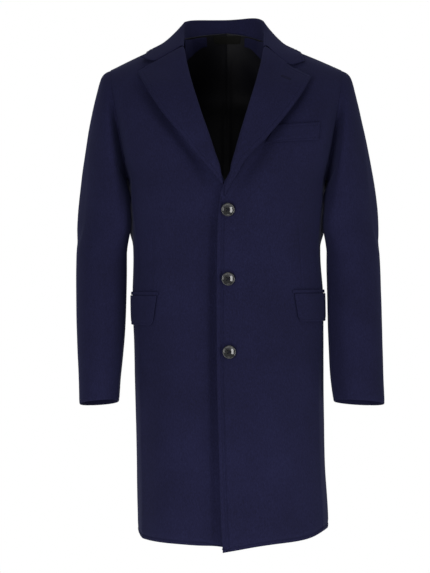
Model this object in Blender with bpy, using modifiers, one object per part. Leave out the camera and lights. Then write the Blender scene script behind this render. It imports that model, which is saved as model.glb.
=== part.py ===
"""A man's navy wool overcoat, hollow as it is worn: two fronts lapped left over right and
closed with three buttons, side and back panels, two-piece sleeves, a notched collar with its
stand and lapels, a chest welt, two flap pockets, a back lining, a neck facing and a bare label.

Metres, +Z up. The front faces -Y and the wearer's left is +X. The origin is on the centre
line at the base of the neck. Sizes below are in millimetres. A point is written (out, depth,
height): out is the distance from the centre line towards the side that is being made.
"""

import math

import bmesh
import bpy
import numpy as np
from mathutils import Vector
from mathutils.bvhtree import BVHTree

MM = 0.001
SIDES = {"right": -1, "left": 1}

CLOTH = 2.4
TRIM_CLOTH = 2.6
LINING_CLOTH = 1.2
SEAM_GAP = 0.4
SHARP_FOLD = 0.6
REST_GAP = 0.8

# Rings of the body, from hem to armhole: half widths, depth at centre front and centre back,
# depth of the widest place, and how square the ring is (2 is an ellipse).
BODY = (
    ("height", "right", "left", "front", "back", "widest", "square"),
    (-920, 170.5, 194, -155, 155, 0, 2.4),
    (-870, 171.3, 192.5, -153, 152, 0, 2.4),
    (-800, 172, 187, -150, 148, 0, 2.4),
    (-710, 174, 185, -146, 142, 0, 2.4),
    (-630, 175.8, 184, -142, 135.5, 2, 2.4),
    (-560, 177.5, 184, -138, 128, 5, 2.4),
    (-500, 180.5, 185, -134, 116, 8, 2.45),
    (-450, 181, 184, -131, 105, 12, 2.5),
    (-400, 178.5, 178.5, -131, 99, 18, 2.55),
    (-350, 182.5, 181, -135, 103, 34, 2.6),
    (-300, 189.5, 189.5, -139, 112, 48, 2.7),
    (-258, 191, 190.5, -140, 119, 44, 2.7),
    (-238, 192, 191.5, -139, 124, 42, 2.7),
    (-206, 196, 195, -136, 128, 38, 2.7),
)
# How far the hem hangs, across each front from the centre line outward.
HEM = (
    ("out", "right", "left"),
    (-20, -927, -935.5),
    (0, -926, -933.5),
    (40, -922.5, -925.5),
    (90, -920, -919),
    (130, -919, -916.5),
    (160, -918, -912.5),
    (180, -912, -904.5),
)
HEM_BACK = -902
HEM_FADE = -740

# The inner edge of each front, from hem to the neck end of the shoulder seam: past centre up
# to the break of the lapels, then beside the roll of the lapel, then the neckline.
FRONT_EDGE = (
    ("height", "right", "left", "depth"),
    (-932, -20, -8, -155),
    (-870, -20, -11.5, -153),
    (-770, -20, -15.5, -149),
    (-640, -20, -19, -142),
    (-500, -20, -19.7, -134),
    (-350, -20, -18.5, -135),
    (-300, -18, -17.3, -139),
    (-258, 5, -8, -140),
    (-238, 14, 6.3, -139),
    (-206, 25.5, 15.5, -136),
    (-172, 37, 25.5, -131),
    (-138, 49, 36, -124),
    (-104, 60, 46.5, -113),
    (-72, 69.5, 56, -98.5),
    (-44, 76.2, 63.2, -81),
    (-20, 81, 69, -62),
    (-2, 83.5, 71.5, -42),
    (25, 85.5, 75.5, 4),
)
NECK_HEIGHTS = (-206, -172, -138, -104, -72, -44, -20, -2, 25)
NECK_POINT = {"right": (85.5, 4, 25), "left": (75.5, 4, 19.5)}
BACK_NECK = (0, 71, 42)
# Centre back above the armhole line: height and depth.
BACK_LINE = (
    ("height", "depth"),
    (-206, 128),
    (-172, 129.5),
    (-136, 129),
    (-100, 125),
    (-66, 118),
    (-34, 107),
    (-2, 93),
    (21, 81.5),
    (42, 71),
)
SHOULDER_CROWN = 2.0
FRONT_SEAM_ANGLE = 66
BACK_SEAM_ANGLE = 118
FRONT_COLUMNS = 9
NECK_COLUMNS = 3
NECK_SHARE = 0.36
SIDE_COLUMNS = 5
# The side panel's rows dip under the armhole, and hollow there to clear the sleeve.
ARMHOLE_DROP = {-238: 24, -258: 17}
ARMHOLE_HOLLOW = {-238: 4.5, -258: 3.5, -300: 3.2, -350: 1}

# The under front sinks behind the edge of the front that laps over it.
TUCK_DEPTH = 6.5
TUCK_FROM = 62
TUCK_TO = 28
TUCK = (("height", "share"), (-930, 1), (-300, 1), (-258, 0.95), (-238, 0.55), (-206, 0))

# Rings of the sleeves. Row 0 is the armhole seam: each ring runs from its outermost point to
# its point against the body, and from its front to its back. Egg narrows a ring's top, twist
# turns its front inward, and lift raises its front over its back.
SLEEVE = (
    ("ring", "out_right", "out_left", "top", "in_right", "in_left", "bottom",
     "front", "back", "egg", "twist", "lift"),
    (0, 222, 218.5, -37, 188, 188, -250, -68, 88, 0.13, 0, 0),
    (1, 239.5, 236, -44, 190.6, 190.6, -250.8, -70, 90, 0.12, 1, 0),
    (2, 246.5, 243.5, -74, 191.7, 191.7, -254.5, -71, 91, 0.1, 2, 0),
    (3, 256.8, 253.2, -115, 192.2, 192.2, -260, -70, 90, 0.07, 3, 0),
    (4, 265, 262.7, -155, 191, 191, -267, -69, 89, 0.04, 11, 0),
    (5, 270, 271, -205, 190, 190, -276, -68, 88, 0.02, 19, 0),
    (6, 276, 279.8, -268, 190, 190, -296, -67, 86, 0, 24, 0),
    (7, 280.3, 284.5, -328, 188, 187, -340, -66, 84, 0, 29, 0),
    (8, 287.7, 291.5, -372, 187.5, 187, -373, -65, 81, 0, 8, 2),
    (9, 288, 293, -430, 188.5, 187.5, -430, -65, 76, 0, 6, 4),
    (10, 287, 294, -490, 189, 188.5, -490, -69, 66, 0, 5, 8),
    (11, 285.5, 295, -545, 192, 189.5, -545, -75, 52, 0, 4, 12),
    (12, 282, 295.5, -590, 196, 191, -590, -80, 40, 0, 3, 15),
    (13, 280, 296, -626, 199, 193.5, -625, -84, 30, 0, 2, 16),
    (14, 278.8, 296.7, -652, 200.5, 196.5, -649, -87, 23, 0, 2, 16),
    (15, 278.5, 297.2, -670, 201.5, 198.5, -664.5, -89, 19, 0, 2, 16),
)
SLEEVE_SQUARE = 2.2
FRONT_ARC = np.linspace(0, 125, 9)
SIDE_ARC = np.linspace(125, 235, SIDE_COLUMNS)
BACK_ARC = np.linspace(235, 360, 9)

# Collar: the centre of its fold, the leaf's outer edge, and the height of the fold's frame.
# Step 0 is centre back and step 100 is the gorge, where it meets the lapel.
COLLAR = {
    "right": (
        ("step", "out", "depth", "height", "edge_out", "edge_depth", "edge_height", "lean"),
        (0, 0, 80, 64, 0, 97, 9, 0),
        (20, 32, 77, 63.5, 42, 94, 8, 0),
        (40, 61, 63, 61.5, 86, 79, 4, 4),
        (60, 79.5, 38, 55, 124, 50, 0, 14),
        (80, 86, 8, 36, 148, 6, -4, 30),
        (100, 83.8, -44, 1, 161, -42, -16, 46),
    ),
    "left": (
        ("step", "out", "depth", "height", "edge_out", "edge_depth", "edge_height", "lean"),
        (0, 0, 80, 64, 0, 97, 9, 0),
        (20, 28, 77, 65.5, 40, 94, 8, 0),
        (40, 53, 64, 66, 80, 80, 4, 4),
        (60, 69, 40, 57.5, 114, 50, -1, 14),
        (80, 75, 8, 34, 134, 6, -6, 30),
        (100, 71.8, -44, 1, 147.5, -42, -23, 46),
    ),
}
COLLAR_STEPS = (0, 10, 20, 30, 40, 50, 60, 68, 74, 78, 81, 85, 90, 95, 100)
STAND_STEPS = COLLAR_STEPS[:-2]
# The stand's foot follows the neck seam: this step stands over the shoulder seam.
SHOULDER_STEP = 80
GORGE_GAP = 1.2
GORGE_FROM = 74
# How far the stand ends under the fold.
STAND_DROP = 1.2
FOLD_RADIUS = 4.5
FOLD_ARC = (172, 120, 72)
LAPEL_ROOT_ARC = (258, 214)
# The inner corner of the notch, where the gorge seam ends.
NOTCH = {"right": (137, -29), "left": (117.5, -38)}
LEAF_SHARES = (0.18, 0.37, 0.56, 0.74, 0.87, 1)
GORGE_SHARES = (0.25, 0.5, 0.75, 1)
# Lapels: where a row leaves the roll, and its end on the lapel's outer edge.
LAPEL = {
    "right": (
        ("roll", "out", "height"),
        (-246, 15, -252),
        (-197, 52, -213),
        (-149, 83.5, -171),
        (-100, 115.5, -132.5),
        (-51, 143, -91),
        (-2, 167.5, -48),
    ),
    "left": (
        ("roll", "out", "height"),
        (-246, 8, -254),
        (-195, 36, -211),
        (-147, 70, -176.5),
        (-99, 102, -139.5),
        (-51, 131.5, -101),
        (-2, 155.8, -58.5),
    ),
}
LAPEL_ROLLS = (-246, -238, -222, -206, -189, -172, -155, -138, -121, -104, -88, -72, -44, -20, -2)
LAPEL_REST = 1.2
LEAF_REST = 2.8
LAPEL_RISE = TRIM_CLOTH + LAPEL_REST

FLAP = {
    "right": {"top": -465.5, "bottom": -521, "out_top": 131, "out_bottom": 139},
    "left": {"top": -461.5, "bottom": -514, "out_top": 124, "out_bottom": 133},
}
# Rows above the flap's lower edge, and how far its corner is rounded off there.
FLAP_CORNER = (("up", "inset"), (0, 7), (2.5, 2.6), (7.5, 0))
# A height at which the panels' own rows bend, where the flap needs a row too.
FLAP_BEND = -500
FLAP_END = 11.25
FLAP_CLOTH = 2.2
FLAP_REST = 1.4
JET_WIDTH = 6.5
JET_CLOTH = 1.4
JET_PAST_FLAP = 3

# Chest welt on the left front: its inner end runs along the lapel's edge.
WELT = {"inner_top": (99, -151), "inner_bottom": (76, -185.5),
        "outer_top": (171, -145), "outer_bottom": (168, -178)}
WELT_CLOTH = 1.8
WELT_REST = 1.2

BUTTONS = ((1, 1.0, -308), (2, 1.5, -435), (3, 3.3, -569))
BUTTON_PROFILE = (
    ("radius", "height"),
    (0, 2.6),
    (6.5, 2.6),
    (8.6, 3.3),
    (9.6, 4.6),
    (11.4, 4.6),
    (12.5, 3.4),
    (12.2, 2.0),
    (10.4, 1.2),
    (3.2, 1.0),
    (3.0, -0.8),
    (0, -0.8),
)
BUTTON_STEPS = 20

LINING_BOTTOM = -450
LINING_REST = 1.0
# The lining's pleat stands out from the centre line, from a little below the label.
PLEAT = (("out", "share"), (0, 1), (6.5, 1), (10, 0))
PLEAT_RISE = 2.2
PLEAT_TOP = 16
PLEAT_FULL = -6
# Coat cloth faces the neck at each side of the lining: the height of its lower edge, by the
# distance out as a share of the neck's half width.
FACING = (
    ("share", "bottom"),
    (0.45, 14),
    (0.54, 12.5),
    (0.63, 8),
    (0.72, 1),
    (0.82, -8),
    (0.88, -13),
    (0.93, -19),
)
FACING_TOP = 6.5
FACING_CLOTH = 1.4
INSIDE_REST = 1.1
LABEL = {"from": -27, "to": 28, "top": 35, "bottom": 20, "taper": 3, "cloth": 0.8}


def read(table, at, name):
    """A table's named column, read smoothly at a place along the table's first column."""
    keys = np.array([row[0] for row in table[1:]], float)
    values = np.array([row[table[0].index(name)] for row in table[1:]], float)
    slopes = np.gradient(values, keys)
    at = min(max(at, keys[0]), keys[-1])
    i = min(max(int(np.searchsorted(keys, at)) - 1, 0), len(keys) - 2)
    span = keys[i + 1] - keys[i]
    t = (at - keys[i]) / span
    return (
        (1 + 2 * t) * (1 - t) ** 2 * values[i]
        + t * (1 - t) ** 2 * span * slopes[i]
        + t * t * (3 - 2 * t) * values[i + 1]
        + t * t * (t - 1) * span * slopes[i + 1]
    )


def unit(vector):
    return vector / np.linalg.norm(vector, axis=-1, keepdims=True)


def smooth(share):
    share = min(max(share, 0), 1)
    return share * share * (3 - 2 * share)


def signed_power(value, power):
    return math.copysign(abs(value) ** power, value)


def to_side(points, side):
    """Points written as (out, depth, height), as (x, y, z) on one side of the coat."""
    return np.asarray(points, float) * (SIDES[side], 1, 1)


# ------------------------------------------------------------------ cloth walls


def make_material(name, colour, roughness, metallic=0.0):
    material = bpy.data.materials.new(name)
    material.use_nodes = True
    shader = material.node_tree.nodes["Principled BSDF"]
    shader.inputs["Base Color"].default_value = (*colour, 1)
    shader.inputs["Roughness"].default_value = roughness
    shader.inputs["Metallic"].default_value = metallic
    material.diffuse_color = (*colour, 1)
    return material


def finish(name, bm, material):
    """The bmesh as an object of the coat, shaded smooth but at its sharp edges."""
    bmesh.ops.recalc_face_normals(bm, faces=bm.faces)
    if bm.calc_volume(signed=True) < 0:
        bmesh.ops.reverse_faces(bm, faces=bm.faces)
    mesh = bpy.data.meshes.new(name)
    bm.to_mesh(mesh)
    bm.free()
    mesh.shade_smooth()
    mesh.set_sharp_from_angle(angle=math.radians(50))
    mesh.materials.append(material)
    obj = bpy.data.objects.new(name, mesh)
    coat.objects.link(obj)
    return obj


def make_wall(name, outer, inner, material):
    """A closed wall of cloth between two grids of points with the same rows and columns."""
    rows, columns = outer.shape[:2]
    bm = bmesh.new()
    cell = bm.verts.layers.int.new("cell")
    bmesh.ops.create_grid(bm, x_segments=columns - 1, y_segments=rows - 1, size=1)
    for vert in bm.verts:
        column = round((vert.co.x + 1) / 2 * (columns - 1))
        row = round((vert.co.y + 1) / 2 * (rows - 1))
        vert[cell] = row * columns + column
    back = bmesh.ops.extrude_face_region(bm, geom=bm.faces[:])["geom"]
    turned = {item for item in back if isinstance(item, bmesh.types.BMVert)}
    for vert in bm.verts:
        grid = inner if vert in turned else outer
        vert.co = Vector(grid.reshape(-1, 3)[vert[cell]]) * MM
    return finish(name, bm, material)


def draw_in(grid, distance):
    """The grid with its four edges drawn in, which leaves a seam's gap to its neighbour."""
    drawn = grid.copy()
    for edge, inside in (
        (np.s_[0], np.s_[1]),
        (np.s_[-1], np.s_[-2]),
        (np.s_[:, 0], np.s_[:, 1]),
        (np.s_[:, -1], np.s_[:, -2]),
    ):
        drawn[edge] += distance * unit(grid[inside] - grid[edge])
    return drawn


def outward(grid, core):
    """Unit normals of a grid, turned away from the core points."""
    order = 2 if min(grid.shape[:2]) > 2 else 1
    across, along = (np.gradient(grid, axis=axis, edge_order=order) for axis in (1, 0))
    normals = unit(np.cross(across, along))
    away = (normals * (grid - core)).sum()
    return normals if away > 0 else -normals


def share_normals(body, sleeves):
    """Mean normals where panels meet, shared over the armhole too, but not over a sharp fold."""
    met = ({}, {})
    for part, sheets in enumerate((body, sleeves)):
        for grid, normals in sheets.values():
            for point, normal in zip(grid.reshape(-1, 3), normals.reshape(-1, 3)):
                key = tuple(np.round(point, 2))
                met[part][key] = met[part].get(key, 0) + normal
    shared = {}
    for part, sheets in enumerate((body, sleeves)):
        for name, (grid, _) in sheets.items():
            smoothed = []
            for point in grid.reshape(-1, 3):
                key = tuple(np.round(point, 2))
                own = unit(met[part][key])
                other = unit(met[1 - part].get(key, own))
                smoothed.append(unit(own + other) if own.dot(other) > SHARP_FOLD else own)
            shared[name] = np.array(smoothed).reshape(grid.shape)
    return shared


def make_cloth(name, grid, normals, thickness, material):
    """A wall whose outer face is the grid, less the seams' gaps."""
    outer = draw_in(grid, SEAM_GAP / 2)
    return make_wall(name, outer, outer - thickness * normals, material)


# ------------------------------------------------------------------ body


def sleeve_point(side, ring, angle):
    """A point of a sleeve's ring: 0 is its outside, 90 its front, 180 against the body."""
    row = dict(zip(SLEEVE[0], SLEEVE[1 + ring]))
    top = np.array([row["out_" + side], row["top"]])
    bottom = np.array([row["in_" + side], row["bottom"]])
    a = math.radians(angle)
    along = signed_power(math.cos(a), 2 / SLEEVE_SQUARE)
    across = signed_power(math.sin(a), 2 / SLEEVE_SQUARE)
    out, height = (top + bottom) / 2 + (top - bottom) / 2 * along
    middle = (row["front"] + row["back"]) / 2
    half = (row["back"] - row["front"]) / 2 * (1 - row["egg"] * along)
    return np.array([out - row["twist"] * across, middle - half * across,
                     height + row["lift"] / 2 * across])


def armhole(side, angle):
    return sleeve_point(side, 0, angle)


def body_point(side, height, angle):
    """A point of the body's ring at an angle from centre front."""
    a = math.radians(angle)
    power = 2 / read(BODY, height, "square")
    widest = read(BODY, height, "widest")
    reach = read(BODY, height, "front" if angle < 90 else "back")
    return np.array([
        read(BODY, height, side) * math.sin(a) ** power,
        widest + (reach - widest) * abs(math.cos(a)) ** power,
        height,
    ])


def bowed(share, fullness, square):
    """How far a row has left its centre depth, 0 to 1, at a share of its width."""
    arc = lambda s: 1 - (1 - (fullness * s) ** square) ** (1 / square)
    return arc(min(abs(share), 1)) / arc(1)


def body_row(height, start, end, reach, shares, seam_angle):
    """A row of a front or back panel, from out=start to a seam point."""
    square = read(BODY, height, "square")
    fullness = math.sin(math.radians(seam_angle)) ** (2 / square)
    row = []
    for share in shares:
        out = start + (end[0] - start) * share
        bow = bowed(out / end[0], fullness, square)
        row.append((out, reach + (end[1] - reach) * bow, height))
    return np.array(row)


def spread(count):
    """Shares from 0 to 1 that lie closer together towards the side of the coat."""
    steps = np.linspace(0, 1, count)
    return steps * (1.28 - 0.28 * steps)


def patch(bottom, top, inner, outer):
    """A sheet spanned between the four seams of a panel, as a Coons patch."""
    v = np.linspace(0, 1, len(inner))[:, None, None]
    u = spread(len(bottom))[None, :, None]
    corners = (1 - u) * (1 - v) * bottom[0] + u * (1 - v) * bottom[-1]
    corners = corners + (1 - u) * v * top[0] + u * v * top[-1]
    across = (1 - u) * inner[:, None] + u * outer[:, None]
    return (1 - v) * bottom[None] + v * top[None] + across - corners


def shoulder_seam(side, shares):
    """From the neck point to the armhole, over the top of the shoulder."""
    start = np.array(NECK_POINT[side], float)
    end = armhole(side, 0)
    return np.array([
        start + (end - start) * s + (0, 0, SHOULDER_CROWN * math.sin(math.pi * s)) for s in shares
    ])


def hem_drop(side, height, out):
    """How much lower a point hangs because the hem isn't level."""
    share = min(max((HEM_FADE - height) / (HEM_FADE - BODY[1][0]), 0), 1)
    return (read(HEM, out, side) - BODY[1][0]) * share


BODY_HEIGHTS = [row[0] for row in BODY[1:]]
SEAM_HEIGHTS = BODY_HEIGHTS[:-1]


def front_panel(side):
    shares = spread(FRONT_COLUMNS)
    rows = []
    for height in BODY_HEIGHTS:
        top = height == BODY_HEIGHTS[-1]
        end = armhole(side, FRONT_ARC[-1]) if top else body_point(side, height, FRONT_SEAM_ANGLE)
        start = read(FRONT_EDGE, height, side)
        row = body_row(height, start, end, read(BODY, height, "front"), shares, FRONT_SEAM_ANGLE)
        row[:, 2] = end[2]
        rows.append(row)
    inner = np.array([
        (read(FRONT_EDGE, h, side), read(FRONT_EDGE, h, "depth"), h) for h in NECK_HEIGHTS[:-1]
    ] + [NECK_POINT[side]])
    inner[0] = rows[-1][0]
    outer = np.array([armhole(side, angle) for angle in FRONT_ARC[::-1]])
    rows[-1][0] = inner[0]
    upper = patch(rows[-1], shoulder_seam(side, shares), inner, outer)
    grid = np.concatenate([rows[:-1], upper])
    for row, height in zip(grid, SEAM_HEIGHTS):
        for point in row:
            point[2] += hem_drop(side, height, point[0])
    if side == "right":
        for row, height in zip(grid, BODY_HEIGHTS):
            sink = TUCK_DEPTH * read(TUCK, height, "share")
            for point in row:
                point[1] += sink * smooth((TUCK_FROM - point[0]) / (TUCK_FROM - TUCK_TO))
    return to_side(grid, side)


def side_panel(side):
    angles = np.linspace(FRONT_SEAM_ANGLE, BACK_SEAM_ANGLE, SIDE_COLUMNS)
    rows = []
    for height in SEAM_HEIGHTS:
        row = []
        for share, angle in zip(np.linspace(0, 1, SIDE_COLUMNS), angles):
            drop = ARMHOLE_DROP.get(height, 0) * math.sin(math.pi * share)
            point = body_point(side, height - drop, angle)
            point[0] -= ARMHOLE_HOLLOW.get(height, 0) * math.sin(math.pi * share)
            front_hem = hem_drop(side, height, body_point(side, height, FRONT_SEAM_ANGLE)[0])
            back_hem = hem_back(height)
            point[2] += front_hem + (back_hem - front_hem) * share
            row.append(point)
        rows.append(row)
    rows.append([armhole(side, angle) for angle in SIDE_ARC])
    return to_side(rows, side)


def hem_back(height):
    share = min(max((HEM_FADE - height) / (HEM_FADE - BODY[1][0]), 0), 1)
    return (HEM_BACK - BODY[1][0]) * share


def back_neck(side, angle):
    """The neck seam, from centre back (0) to the neck point (90)."""
    end = np.array(NECK_POINT[side], float)
    a = math.radians(angle)
    return np.array([
        end[0] * math.sin(a),
        end[1] + (BACK_NECK[1] - end[1]) * math.cos(a),
        end[2] + (BACK_NECK[2] - end[2]) * math.cos(a) ** 2,
    ])


def back_panel(side):
    shares = np.concatenate([
        np.linspace(0, NECK_SHARE, NECK_COLUMNS + 1)[:-1],
        NECK_SHARE + (1 - NECK_SHARE) * spread(FRONT_COLUMNS),
    ])
    rows = []
    for height in BODY_HEIGHTS:
        top = height == BODY_HEIGHTS[-1]
        end = armhole(side, BACK_ARC[0]) if top else body_point(side, height, BACK_SEAM_ANGLE)
        row = body_row(height, 0, end, read(BODY, height, "back"), shares, BACK_SEAM_ANGLE)
        row[:, 2] = end[2] + hem_back(height)
        rows.append(row)
    inner = np.array([(0, row[1], row[0]) for row in BACK_LINE[1:]], float)
    inner[0] = rows[-1][0]
    outer = np.array([armhole(side, angle) for angle in BACK_ARC])
    neck = [back_neck(side, angle) for angle in np.linspace(0, 90, NECK_COLUMNS + 1)[:-1]]
    top = np.concatenate([neck, shoulder_seam(side, spread(FRONT_COLUMNS))])
    upper = patch(rows[-1], top, inner, outer)
    return to_side(np.concatenate([rows[:-1], upper]), side)


# ------------------------------------------------------------------ sleeves


def sleeve_panel(side, angles):
    rings = range(len(SLEEVE) - 1)
    return to_side([[sleeve_point(side, ring, angle) for angle in angles] for ring in rings], side)


def sleeve_core(side, grid):
    """The middle of each ring, repeated for each of the grid's columns."""
    middles = [
        (sleeve_point(side, ring, 0) + sleeve_point(side, ring, 180)) / 2
        for ring in range(len(SLEEVE) - 1)
    ]
    return np.repeat(to_side(middles, side)[:, None], grid.shape[1], axis=1)


TOP_SLEEVE_ARC = np.concatenate([BACK_ARC[4:-1] - 360, FRONT_ARC, SIDE_ARC[1:2]])
UNDER_SLEEVE_ARC = np.concatenate([SIDE_ARC[1:], BACK_ARC[1:5]])


# ------------------------------------------------------------------ what lies on the panels


class Form:
    """The outer faces of the finished panels, for what is laid on them."""

    def __init__(self, grids):
        points, faces = [], []
        for grid in grids:
            rows, columns = grid.shape[:2]
            start = len(points)
            points += [Vector(point) for point in grid.reshape(-1, 3)]
            for row in range(rows - 1):
                for column in range(columns - 1):
                    a = start + row * columns + column
                    quad = (a, a + 1, a + columns + 1, a + columns)
                    # Both of its diagonals, since a panel may be split along either.
                    faces += [[quad[(corner + i) % 4] for i in range(3)] for corner in range(4)]
        self.tree = BVHTree.FromPolygons(points, faces)

    def lift(self, point, height, away):
        """The point, moved out where it is lower than height over the nearest cloth."""
        hit, normal, _, _ = self.tree.find_nearest(Vector(point))
        if normal.dot(Vector(away)) < 0:
            normal = -normal
        over = (Vector(point) - hit).dot(normal)
        return np.array(Vector(point) + max(height - over, 0) * normal)

    def seat(self, x, z, height):
        """The point at (x, z) on the front of the coat, moved out by a height."""
        hit, normal, _, _ = self.tree.ray_cast(Vector((x, -400, z)), Vector((0, 1, 0)))
        if normal.y > 0:
            normal = -normal
        return np.array(hit + normal * height), np.array(normal)

    def ahead(self, x, z, height):
        """The point at (x, z), moved straight forward until it is a height off the cloth."""
        hit, normal = self.seat(x, z, 0)
        point = hit + (0, height / normal[1], 0)
        for _ in range(3):
            point = self.lift(point, height, (0, -1, 0))
        return point


def fold_points(centre, out, up, angles):
    """Points round a fold of cloth: 0 is towards the leaf and 90 is its crest."""
    turns = [math.radians(angle) for angle in angles]
    return [centre + FOLD_RADIUS * (math.cos(a) * out + math.sin(a) * up) for a in turns]


def on_column(grid, column, height):
    """Where one of a grid's columns passes a height, between its rows."""
    line = grid[:, column]
    order = np.argsort(line[:, 2])
    return np.array([np.interp(height, line[order, 2], line[order, axis]) for axis in range(3)])


def lapel_panel(side, form, front, normals):
    """The lapel, from the seam along the front's inner edge, over its fold, to its own edge."""
    sign = SIDES[side]
    edge = front[:, 0]
    rows = []
    for roll in LAPEL_ROLLS:
        root = on_column(front, 0, roll)
        up = unit(np.array([np.interp(roll, edge[:, 2], normals[:, 0, axis]) for axis in range(3)]))
        along = unit(on_column(front, 0, roll + 8) - on_column(front, 0, roll - 8))
        out = np.cross(along, up)
        out *= math.copysign(1, out[0] * sign)
        end, _ = form.seat(
            sign * read(LAPEL[side], roll, "out"), read(LAPEL[side], roll, "height"), LAPEL_RISE
        )
        fold = fold_points(root + up * (FOLD_RADIUS - CLOTH), out, up, LAPEL_ROOT_ARC + FOLD_ARC)
        start = fold[-1]
        leaf = [start + (end - start) * s for s in LEAF_SHARES]
        if roll == LAPEL_ROLLS[-1]:
            notch, _ = form.seat(sign * NOTCH[side][0], NOTCH[side][1] - 1, LAPEL_RISE)
            leaf = [start + (notch - start) * s for s in GORGE_SHARES]
            leaf += [(notch + end) / 2, end]
        rows.append(fold + [form.lift(p, LAPEL_RISE, up) for p in leaf])
    return np.array(rows)


def collar_frame(side, step):
    """Fold centre, leaf edge, and the fold's own out and up at a step round the neck."""
    table = COLLAR[side]
    centre = np.array([read(table, step, name) for name in ("out", "depth", "height")])
    ahead, behind = min(step + 4, 100), max(step - 4, 0)
    along = np.array([read(table, ahead, n) - read(table, behind, n)
                      for n in ("out", "depth", "height")])
    if step == 0:
        along = np.array([1.0, 0, 0])
    lean = math.radians(read(table, step, "lean"))
    up = np.array([0, -math.sin(lean), math.cos(lean)])
    along = unit(along)
    up = unit(up - along * up.dot(along))
    out = np.cross(up, along)
    away = np.array([centre[0], centre[1] - NECK_POINT[side][1], 0])
    if out.dot(away) < 0 and step < 95:
        out = -out
    if step >= 95 and out[0] < 0:
        out = -out
    edge = np.array([read(table, step, n) for n in ("edge_out", "edge_depth", "edge_height")])
    return [to_side(item, side) for item in (centre, edge, out, up)]


def collar_rows(steps):
    """(side, step) from the right gorge round the back of the neck to the left gorge."""
    right = [("right", step) for step in steps[::-1]]
    return right + [("left", step) for step in steps[1:]]


def collar_leaf(form, lapels):
    """The collar's leaf, from its fold to its edge. It meets each lapel along the gorge seam."""
    rise = TRIM_CLOTH + LEAF_REST
    rows = []
    for side, step in collar_rows(COLLAR_STEPS):
        centre, edge, out, up = collar_frame(side, step)
        fold = fold_points(centre, out, up, FOLD_ARC)
        leaf = [fold[-1] + (edge - fold[-1]) * s for s in LEAF_SHARES]
        gorge, below = lapels[side][-1], lapels[side][-2]
        gorge = (gorge + GORGE_GAP * unit(gorge - below))[len(LAPEL_ROOT_ARC):]
        gorge[-1] = to_side([COLLAR[side][-1][i] for i in (4, 5, 6)], side)
        gorge[-2] = (gorge[-3] + gorge[-1]) / 2
        near = max((step - GORGE_FROM) / (100 - GORGE_FROM), 0) ** 2
        row = np.array(fold + leaf) * (1 - near) + gorge * near
        rest = [form.lift(point, rise * (1 - near) + LAPEL_RISE * near, up + out)
                for point in row[len(fold):]]
        rows.append([*row[:len(fold)], *rest])
    return np.array(rows)


def stand_foot(side, step):
    """The neck seam under the collar's stand: the back neck, then the front's neckline."""
    if step <= SHOULDER_STEP:
        point = back_neck(side, 90 * (step / SHOULDER_STEP) ** 1.15)
        inward = unit(np.array([-point[0], -(point[1] - NECK_POINT[side][1]), 0]) + (1e-6, 0, 0))
        return to_side(point + inward * 2 + (0, 0, 0.9), side)
    share = (step - SHOULDER_STEP) / (100 - SHOULDER_STEP)
    height = NECK_POINT[side][2] * (1 - share)
    out = read(FRONT_EDGE, height, side)
    depth = read(FRONT_EDGE, height, "depth")
    return to_side((out - 2.2, depth, height + 1.2), side)


def collar_stand():
    rows = []
    for side, step in collar_rows(STAND_STEPS):
        centre, _, out, up = collar_frame(side, step)
        drop = STAND_DROP * (1 + 1.8 * smooth((step - 55) / 30))
        top = fold_points(centre, out, up, (178,))[0] - up * drop
        foot = stand_foot(side, step)
        rows.append([foot + (top - foot) * share for share in (0, 0.35, 0.7, 1)])
    return np.array(rows)


# ------------------------------------------------------------------ pockets and welt


def between(line, place):
    """A point between two of a row's columns: place 2.5 is halfway from column 2 to column 3."""
    low = min(int(place), len(line) - 2)
    return line[low] + (line[low + 1] - line[low]) * (place - low)


def panel_strip(side, front, near, heights, starts, lift):
    """A strip laid over the front's and the side panel's own columns, from a slanted end.

    Each row has a height and the distance out at which it starts."""
    columns = [(front, c) for c in range(FRONT_COLUMNS)]
    columns += [(near, c) for c in range(1, SIDE_COLUMNS)]
    lines, firsts = [], []
    for height, start in zip(heights, starts):
        line = []
        for (grid, normals), column in columns:
            level = np.argmin(abs(grid[:, column, 2] - height))
            line.append(on_column(grid, column, height) + normals[level, column] * lift)
        lines.append(line)
        reach = [point[0] * SIDES[side] for point in line[:FRONT_COLUMNS]]
        firsts.append(np.interp(start, reach, range(FRONT_COLUMNS)))
    whole = math.ceil(max(firsts) + 0.35)
    stops = [*np.arange(whole, FLAP_END, 0.5), FLAP_END]
    return np.array([
        [between(line, place) for place in (first, (first + whole) / 2, *stops)]
        for line, first in zip(lines, firsts)
    ])


def flap_panel(side, front, near):
    size = FLAP[side]
    rise = size["top"] - size["bottom"]
    ups = [row[0] for row in FLAP_CORNER[1:]] + [FLAP_BEND - size["bottom"], rise * 0.7, rise]
    insets = [row[1] for row in FLAP_CORNER[1:]] + [0, 0, 0]
    starts = [
        size["out_bottom"] + (size["out_top"] - size["out_bottom"]) * up / rise + inset
        for up, inset in zip(ups, insets)
    ]
    heights = [size["bottom"] + up for up in ups]
    return panel_strip(side, front, near, heights, starts, FLAP_CLOTH + FLAP_REST)


def jet_panel(side, front, near):
    low = FLAP[side]["top"] + SEAM_GAP
    start = FLAP[side]["out_top"] - JET_PAST_FLAP
    heights = (low, low + JET_WIDTH)
    return panel_strip(side, front, near, heights, (start, start), JET_CLOTH + REST_GAP)


def welt_panel(form):
    lift = WELT_CLOTH + WELT_REST
    grid = []
    for up in np.linspace(0, 1, 3):
        inner = np.array(WELT["inner_bottom"]) * (1 - up) + np.array(WELT["inner_top"]) * up
        outer = np.array(WELT["outer_bottom"]) * (1 - up) + np.array(WELT["outer_top"]) * up
        row = [inner + (outer - inner) * s for s in np.linspace(0, 1, 9)]
        grid.append([form.seat(x, z, lift)[0] for x, z in row])
    return np.array(grid)


# ------------------------------------------------------------------ inside of the back


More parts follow.
